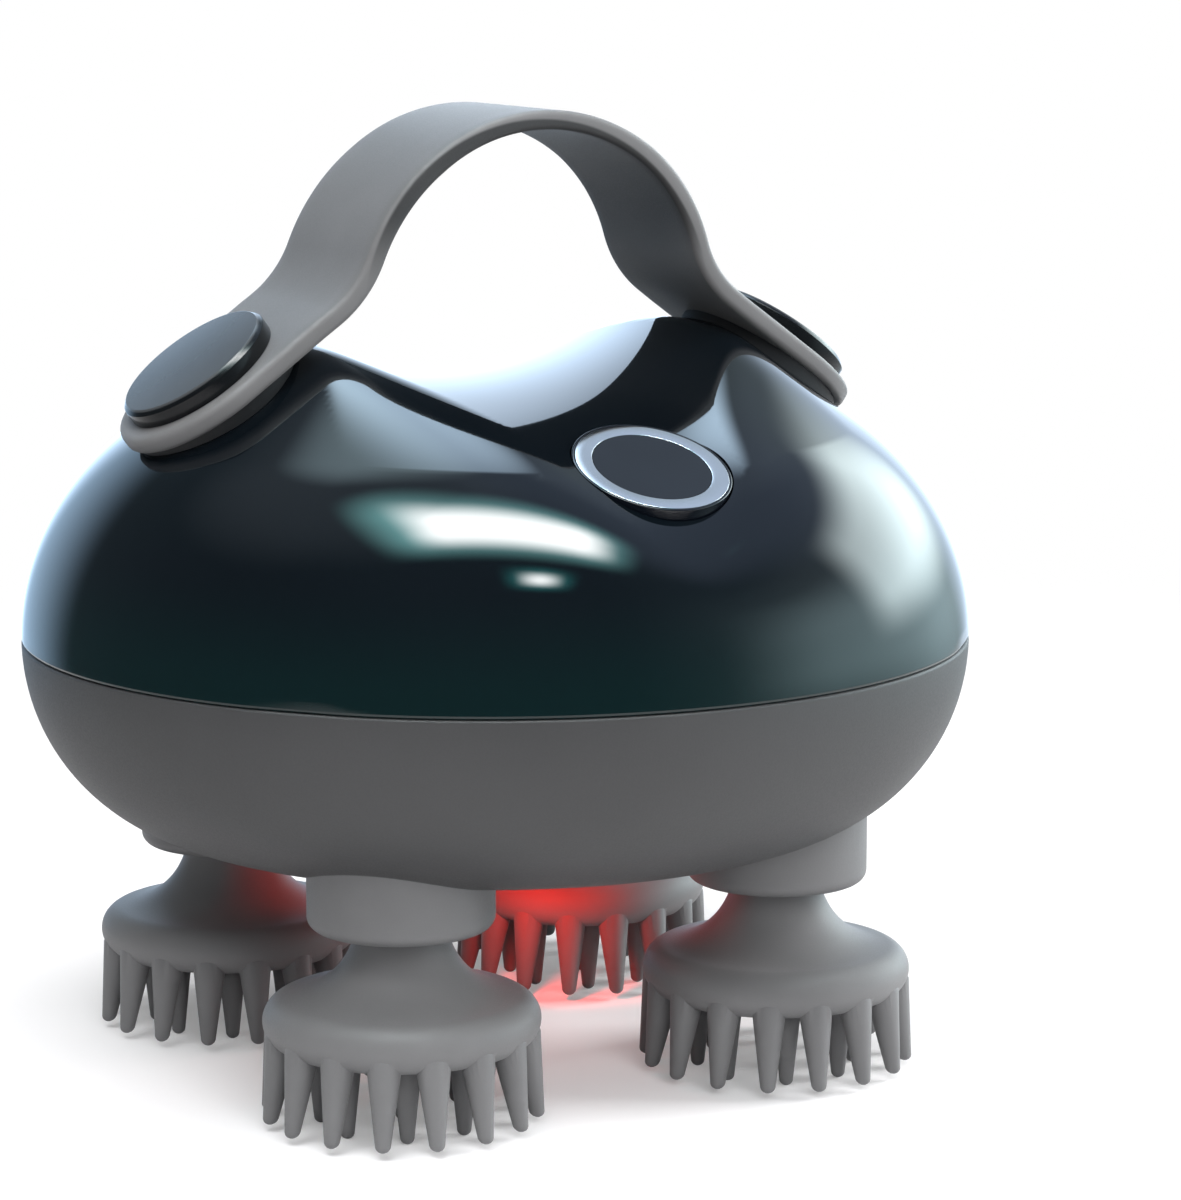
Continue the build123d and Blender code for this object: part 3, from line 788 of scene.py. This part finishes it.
def strap_profile(edge, across):
    """The band's cross-section: distance in from its edge, height, and share of the half width."""
    shares = np.linspace(-1, 1, across + 1)[1:-1]
    arc = [radians(angle) for angle in (0, 22.5, 45, 67.5, 90)]
    corner = [(edge - edge * sin(a), strap_t / 2 - edge + edge * cos(a)) for a in arc]
    corner += [(inset, -height) for inset, height in corner[::-1]]
    profile = [(edge, strap_t / 2, share) for share in shares]
    profile += [(inset, height, 1) for inset, height in corner]
    profile += [(edge, -strap_t / 2, share) for share in -shares]
    profile += [(inset, height, -1) for inset, height in corner[::-1]]
    return profile


def strap():
    at, to_stud = strap_line()
    middle = [(length, None) for length in np.linspace(-to_stud, to_stud, 181)]
    end = [(to_stud, angle) for angle in np.linspace(0, pi / 2, 25)[1:]]
    start = [(-length, -angle) for length, angle in end[::-1]]
    profile = strap_profile(0.8, 14)
    points = []
    for length, angle in start + middle + end:
        for inset, height, share in profile:
            if angle is None:
                along, y = length, share * (lug_r - inset)
            else:
                along = length + (lug_r - inset) * sin(angle)
                y = share * (lug_r - inset) * cos(angle)
            x, z, out_x, out_z = at(along)
            lean = arch_lean * min(1.0, max(0.0, (z - lean_from) / lean_over))
            points.append((x + lean + out_x * height, y, seam_z + z + out_z * height))
    count = len(profile)
    faces = []
    for row in range(0, len(points) - count, count):
        for i in range(count):
            j = (i + 1) % count
            faces.append([row + i, row + j, row + count + j, row + count + i])
    band = solid("strap_band", points, faces)
    for side in sides.values():
        drill(band, stud_r + stud_gap, -1.0, 6.0, shoulder_place(side))
    shade(band, 40.0)
    dress(band, "silicone", "housing", "strap")


def strap_seat(name, side):
    """The pad between the flat lug and the round shoulder."""
    place = np.array(shoulder_place(side))
    way = place[:3, 2]
    turn = circle(96)
    above, below = 3.0, 0.05

    def ring(radius, height):
        flat = np.stack([radius * np.cos(turn), radius * np.sin(turn), 0 * turn], 1)
        foot = flat @ place[:3, :3].T + place[:3, 3] / MM
        if height is None:
            down = cast(lambda x, y, z: -body_field(x, y, z),
                        foot - (0, 0, seam_z) + above * way, -way + 0 * foot, 0.0, 9.0)
            return foot + way * (above + below - down)[:, None]
        return foot + way * height

    inner, top = stud_r + stud_gap, seat_t - 0.02
    rings = [ring(inner, top), ring(inner, None), ring((inner + seat_r) / 2, None),
             ring(seat_r, None), ring(seat_r, top)]
    dress(shade(skin(f"{name}_pad", rings)), "silicone_dark", "housing", name)


def strap_cap(name, side):
    low, high, bevel = seat_t + strap_t, seat_t + strap_t + cap_t, 0.6
    outline = rounded([(0, stud_low), (stud_r, stud_low, 0.3), (stud_r, low), (cap_r, low, 0.2),
                       (cap_r, high - bevel, 0.12), (cap_r - bevel, high, 0.12), (0, high)])
    cap = placed(lathe(f"{name}_turned", outline, 160), shoulder_place(side))
    dress(shade(cap, 25.0), "cap_grey", "housing", name)


# ------------------------------------------------------------------- button
def button():
    place = button_place()
    outline = rounded([
        (0, stem_low), (stem_r, stem_low, 0.2), (stem_r, button_under),
        (button_cavity_r, button_under), (button_cavity_r, flange_low), (flange_r, flange_low),
        (flange_r, flange_top), (button_r, flange_top), (button_r, button_top, 0.15),
        (groove_out, button_top), (groove_out, groove_z), (groove_in, groove_z),
        (groove_in, button_top), (0, button_top)])
    cap = placed(lathe("button_cap_turned", outline, 160), place)
    dress(shade(cap, 25.0), "button_black", "button", "button_cap")
    inner, outer = groove_in + ring_gap, groove_out - ring_gap
    outline = rounded([(inner, groove_z), (outer, groove_z), (outer, button_top, 0.05),
                       (inner, button_top, 0.05)])
    ring = placed(lathe("button_ring_turned", outline, 160), place)
    dress(shade(ring, 25.0), "ring_silver", "button", "button_ring")


# -------------------------------------------------------------------- heads
def head_outline():
    """Neck, hollow flare, rounded brow and rim, flat underside, blind bore."""
    rim_x = head_r - head_rim
    top = (rim_x + head_rim * cos(brow), head_z + head_rim * sin(brow))
    over = top[0] - neck_r
    flare_r = (over ** 2 + flare_rise ** 2) / (2 * over)
    middle = (neck_r + flare_r, top[1] + flare_rise)
    end = atan2(top[1] - middle[1], top[0] - middle[0]) + 2 * pi
    out = [(0, hub_z), (hub_r, hub_z), (hub_r, neck_top), (neck_r - 0.2, neck_top),
           (neck_r, neck_top - 0.2)]
    for angle in np.linspace(pi, end, 22):
        out.append((middle[0] + flare_r * cos(angle), middle[1] + flare_r * sin(angle)))
    for angle in np.linspace(brow, -pi / 2, 30)[1:]:
        out.append((rim_x + head_rim * cos(angle), head_z + head_rim * sin(angle)))
    return out + [(0, head_z - head_rim)]


def bristle(base, tip, tip_z, ring_r, lean, turn):
    """One tapered finger with a round tip and a root that fades into the disc."""
    root_z, end_z = 12.0, tip_z + tip * 0.9
    outline = [(0, tip_z)]
    for angle in np.radians((20, 40, 60, 78)):
        outline.append((tip * sin(angle), end_z - tip * 0.9 * cos(angle)))
    for share in (0.02, 0.35, 0.7, 1.0):
        outline.append((tip + (base - tip) * share, end_z + (root_z - end_z) * share))
    outline += [(base * 0.88, root_z + 0.9), (base * 0.5, root_z + 1.8), (0, root_z + 2.1)]
    finger = lathe("finger", outline, 20)
    for vertex in finger.data.vertices:
        share = (root_z * MM - vertex.co.z) / ((root_z - tip_z) * MM)
        vertex.co.x += (ring_r + lean * share) * MM
    return placed(finger, Matrix.Rotation(turn, 4, "Z"))


def heads():
    head = lathe("head_skin", head_outline(), 128)
    outer, inner = (2.3, 1.0, 0.9, head_r - 2.3, 1.9), (2.1, 0.9, 0.0, 10.2, 0.0)
    for count, shape in ((16, outer), (8, inner)):
        for index in range(count):
            combine(head, bristle(*shape, 2 * pi * (index + 0.5) / count), "UNION")
    combine(head, bristle(2.1, 0.9, 0.0, 0.0, 0.0, 0.0), "UNION")
    shade(head, 38.0)
    low = web_z - seal_t
    seal_outline = rounded([(seal_in, low, 0.2), (seal_out, low, 0.4), (seal_out, web_z),
                            (seal_in, web_z)])
    for name, corner in corners.items():
        copy = bpy.data.objects.new(f"head_{name}_skin", head.data.copy())
        bpy.context.scene.collection.objects.link(copy)
        placed(copy, at_head(corner))
        dress(copy, "silicone", f"scrub_{name}", f"head_{name}")
        seal = placed(lathe(f"spindle_seal_{name}_turned", seal_outline, 64), at_head(corner))
        dress(shade(seal), "silicone_dark", "housing", f"spindle_seal_{name}")
    bpy.data.objects.remove(head)


# -------------------------------------------------------------- port cover
def port_cover():
    """The charging flap, with rounded edges and a rolled hinge."""
    low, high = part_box("port_cover")
    low, high = np.array(low) / MM, np.array(high) / MM
    hinge_z = low[2] + cover_hinge
    outline = rounded([(low[0], hinge_z), (high[0], hinge_z), (high[0], high[2], 1.4),
                       (low[0], high[2], 1.4)])
    flap = prism("port_cover_flap", outline, low[1], high[1])
    first, last = low[0] + 0.2, high[0] - 0.2
    roll = lathe("roll", rounded([(0, first), (cover_hinge, first, 0.1),
                                  (cover_hinge, last, 0.1), (0, last)]), 32)
    turned = shift(0, (low[1] + high[1]) / 2, hinge_z) @ Matrix.Rotation(pi / 2, 4, "Y")
    combine(flap, placed(roll, turned), "UNION")
    bevel = flap.modifiers.new("edges", "BEVEL")
    bevel.width = 0.2 * MM
    bevel.segments = 3
    bevel.limit_method = "ANGLE"
    bevel.angle_limit = radians(50)
    flap.data = evaluated(flap)
    flap.modifiers.clear()
    dress(shade(flap), "silicone_dark", "port_flap", "port_cover")


upper_shell()
lower_shell()
strap()
for name, side in sides.items():
    strap_seat(f"strap_seat_{name}", side)
    strap_cap(f"strap_cap_{name}", side)
button()
heads()
port_cover()

# ------------------------------------------- finishes of the carried parts
slot_of = {part["node"]: part["material_slot"] for part in frame["record"]["subparts"]}
for name, node in frame["nodes"].items():
    node.data.materials.clear()
    node.data.materials.append(finishes[slot_of[name]])
    shade(node, 30.0)

# ------------------------------------------------------------------- stage
# White paint that keeps the shadow, lifted to white for the camera alone. It fades out away from
# the object and is clear from underneath.
floor_half = 0.8
floor_fade = (0.13, 0.40)
floor_corners = [(x * floor_half, y * floor_half, 0)
                 for x, y in ((-1, -1), (1, -1), (1, 1), (-1, 1))]
floor = bpy.data.objects.new("floor", bpy.data.meshes.new("floor"))
floor.data.from_pydata(floor_corners, [], [(0, 1, 2, 3)])
bpy.context.scene.collection.objects.link(floor)
floor_material = bpy.data.materials.new("floor_white")
floor_material.use_nodes = True
n = Nodes(floor_material.node_tree)
paint = n.add("ShaderNodeBsdfDiffuse")
paint.inputs["Color"].default_value = (0.80, 0.80, 0.81, 1)
lift = n.add("ShaderNodeEmission")
path = n.add("ShaderNodeLightPath")
n.put(lift.inputs["Strength"], n.times(path.outputs["Is Camera Ray"], 0.22))
both = n.add("ShaderNodeAddShader")
n.put(both.inputs[0], paint.outputs[0])
n.put(both.inputs[1], lift.outputs[0])
length = n.add("ShaderNodeVectorMath", operation="LENGTH")
n.put(length.inputs[0], n.place())
clear = n.add("ShaderNodeBsdfTransparent")
fade = n.add("ShaderNodeMixShader")
below = n.add("ShaderNodeNewGeometry").outputs["Backfacing"]
n.put(fade.inputs[0], n.math("MAXIMUM", n.ease(length.outputs["Value"], *floor_fade), below))
n.put(fade.inputs[1], both.outputs[0])
n.put(fade.inputs[2], clear.outputs[0])
n.end("ShaderNodeOutputMaterial", fade.outputs[0])
floor.data.materials.append(floor_material)


# ------------------------------------------------------------------- studio
def studio_colour(n):
    """What gloss mirrors: a dark room with high windows, a lit right wall and a pale back wall."""
    way = n.add("ShaderNodeTexCoord").outputs["Generated"]
    x, y, z = n.parts(way)
    azimuth = n.times(n.math("ARCTAN2", x, n.times(y, -1.0)), 180 / pi)
    height = n.times(n.math("ARCSINE", z), 180 / pi)

    def panel(low, high, bottom, top, soft, soft_up):
        """A soft patch between two bearings and two heights, in degrees."""
        across = n.times(n.ease(azimuth, low - soft, low + soft),
                         n.ease(azimuth, high + soft, high - soft))
        upward = n.times(n.ease(height, bottom - soft_up, bottom + soft_up),
                         n.ease(height, top + soft_up, top - soft_up))
        return n.times(across, upward)

    def towards(bearing, rise, inner, outer):
        """A round glow about a direction, full within inner degrees and gone past outer."""
        bearing, rise = radians(bearing), radians(rise)
        dot = n.add("ShaderNodeVectorMath", operation="DOT_PRODUCT")
        n.put(dot.inputs[0], way)
        dot.inputs[1].default_value = (sin(bearing) * cos(rise), -cos(bearing) * cos(rise),
                                       sin(rise))
        return n.ease(dot.outputs["Value"], cos(radians(outer)), cos(radians(inner)))

    def ceiling(u, v, half_u, half_v, soft):
        """A soft panel overhead, turned a little, placed by where it is at one unit of height."""
        up = n.math("MAXIMUM", z, 0.05)
        along = n.minus(n.math("DIVIDE", x, up), u)
        aside = n.minus(n.math("DIVIDE", y, up), v)
        c, s = cos(radians(22)), sin(radians(22))
        first = n.minus(n.times(along, c), n.times(aside, s))
        second = n.plus(n.times(along, s), n.times(aside, c))
        return n.times(n.ease(n.size(first), half_u + soft, half_u - soft),
                       n.ease(n.size(second), half_v + soft, half_v - soft))

    def wall_glow():
        """The whole right side, brighter low down."""
        sideways = n.times(n.ease(azimuth, 0, 70), n.ease(azimuth, 178, 150))
        return n.times(sideways, n.ease(height, 50, 20, 0.15, 1.0))

    def add(total, mask, colour):
        scaled = n.add("ShaderNodeVectorMath", operation="SCALE")
        scaled.inputs[0].default_value = colour
        n.put(scaled.inputs["Scale"], mask)
        joined = n.add("ShaderNodeVectorMath", operation="ADD")
        n.put(joined.inputs[0], total)
        n.put(joined.inputs[1], scaled.outputs[0])
        return joined.outputs[0]

    room = n.add("ShaderNodeCombineXYZ")
    for socket, value in zip(room.inputs, (0.08, 0.11, 0.13)):
        socket.default_value = value
    total = room.outputs[0]
    for mask, colour in (
            (wall_glow(), (0.35, 0.42, 0.45)),
            (ceiling(-0.02, -0.22, 0.31, 0.13, 0.09), (24, 20, 20)),
            (ceiling(-0.05, -0.21, 0.40, 0.19, 0.13), (3.0, 7.5, 7.5)),
            (ceiling(-0.14, -0.71, 0.06, 0.06, 0.06), (22, 19, 19)),
            (ceiling(-0.14, -0.71, 0.09, 0.09, 0.10), (0.5, 4.5, 4.5)),
            (panel(80, 125, 6, 34, 8, 7), (4.6, 5.4, 5.5)),
            (panel(44, 118, -10, 20, 18, 10), (1.1, 1.5, 1.6)),
            (towards(165, 55, 7, 19), (4.2, 5.6, 7.0)),
            (towards(178, 0, 4, 36), (0.68, 0.99, 1.35)),
            (towards(148, 8, 8, 32), (1.1, 1.35, 1.75)),
            (towards(134, 50, 6, 20), (0.10, 0.12, 0.12)),
            (towards(-175, 66, 3, 16), (1.4, 1.9, 2.1)),
            (towards(-130, 68, 6, 34), (0.25, 0.28, 0.32)),
            (towards(100, 60, 8, 36), (0.25, 0.30, 0.45))):
        total = add(total, mask, colour)
    return total


world = bpy.data.worlds.new("studio")
bpy.context.scene.world = world
world.use_nodes = True
n = Nodes(world.node_tree)
path = n.add("ShaderNodeLightPath")
white = n.math("MAXIMUM", path.outputs["Is Camera Ray"], path.outputs["Is Transmission Ray"])
colour = n.mix(path.outputs["Is Glossy Ray"], (0.40, 0.40, 0.405, 1), studio_colour(n))
colour = n.mix(white, colour, (1.0, 1.0, 1.0, 1))
background = n.add("ShaderNodeBackground")
n.put(background.inputs["Color"], colour)
n.end("ShaderNodeOutputWorld", background.outputs[0])


def lamp(name, place, aim, power, kind="AREA", colour=(1, 1, 1)):
    """A lamp that lights the object and shows in no reflection."""
    light = bpy.data.lights.new(name, kind)
    light.energy = power
    light.color = colour
    made = bpy.data.objects.new(name, light)
    made.location = Vector(place) * MM
    made.rotation_euler = (Vector(aim) - Vector(place)).to_track_quat("-Z", "Y").to_euler()
    made.visible_glossy = False
    bpy.context.scene.collection.objects.link(made)
    return light


lamp("key_right", (750, -220, 380), (0, 0, 50), 8.5).size = 0.5
lamp("top", (-330, -220, 840), (0, 0, 60), 6.2).size = 0.6
lamp("front", (-130, -720, 430), (0, 0, 30), 3.1).size = 0.4

# The lens lights the heads from the inside, the far one most as the camera sees it.
glow_in, glow_z = 3, 23
for name, power, aim_z, spread in (("br", 0.070, 6, 72), ("fl", 0.018, 25, 56),
                                   ("fr", 0.020, 25, 56), ("bl", 0.026, 24, 56)):
    x, y = corners[name]
    glow = lamp(f"red_{name}", (x * glow_in, y * glow_in, glow_z),
                (x * head_xy, y * head_xy, aim_z), power, "SPOT", (1.0, 0.03, 0.02))
    glow.spot_size = radians(spread)
    glow.spot_blend = 0.7
    glow.shadow_soft_size = 3 * MM

# ------------------------------------------------------------------- camera
# The place, aim and lens come from a fit to the photograph's outline, seam, sockets and caps.
camera = bpy.data.objects.new("camera", bpy.data.cameras.new("camera"))
bpy.context.scene.collection.objects.link(camera)
camera.data.sensor_width = 36.0
camera.data.lens = 123.26
camera.data.clip_start = 0.05
camera.data.clip_end = 10.0
right = Vector((0.88177, -0.47167, 0.0))
forward = Vector((0.46499, 0.86927, -0.16780)).normalized()
up = right.cross(forward)
turned = Matrix((right, up, -forward)).transposed().to_4x4()
camera.matrix_world = shift(-240.43, -475.77, seam_z + 94.5) @ turned
bpy.context.scene.camera = camera

bpy.context.scene.view_settings.view_transform = "Standard"
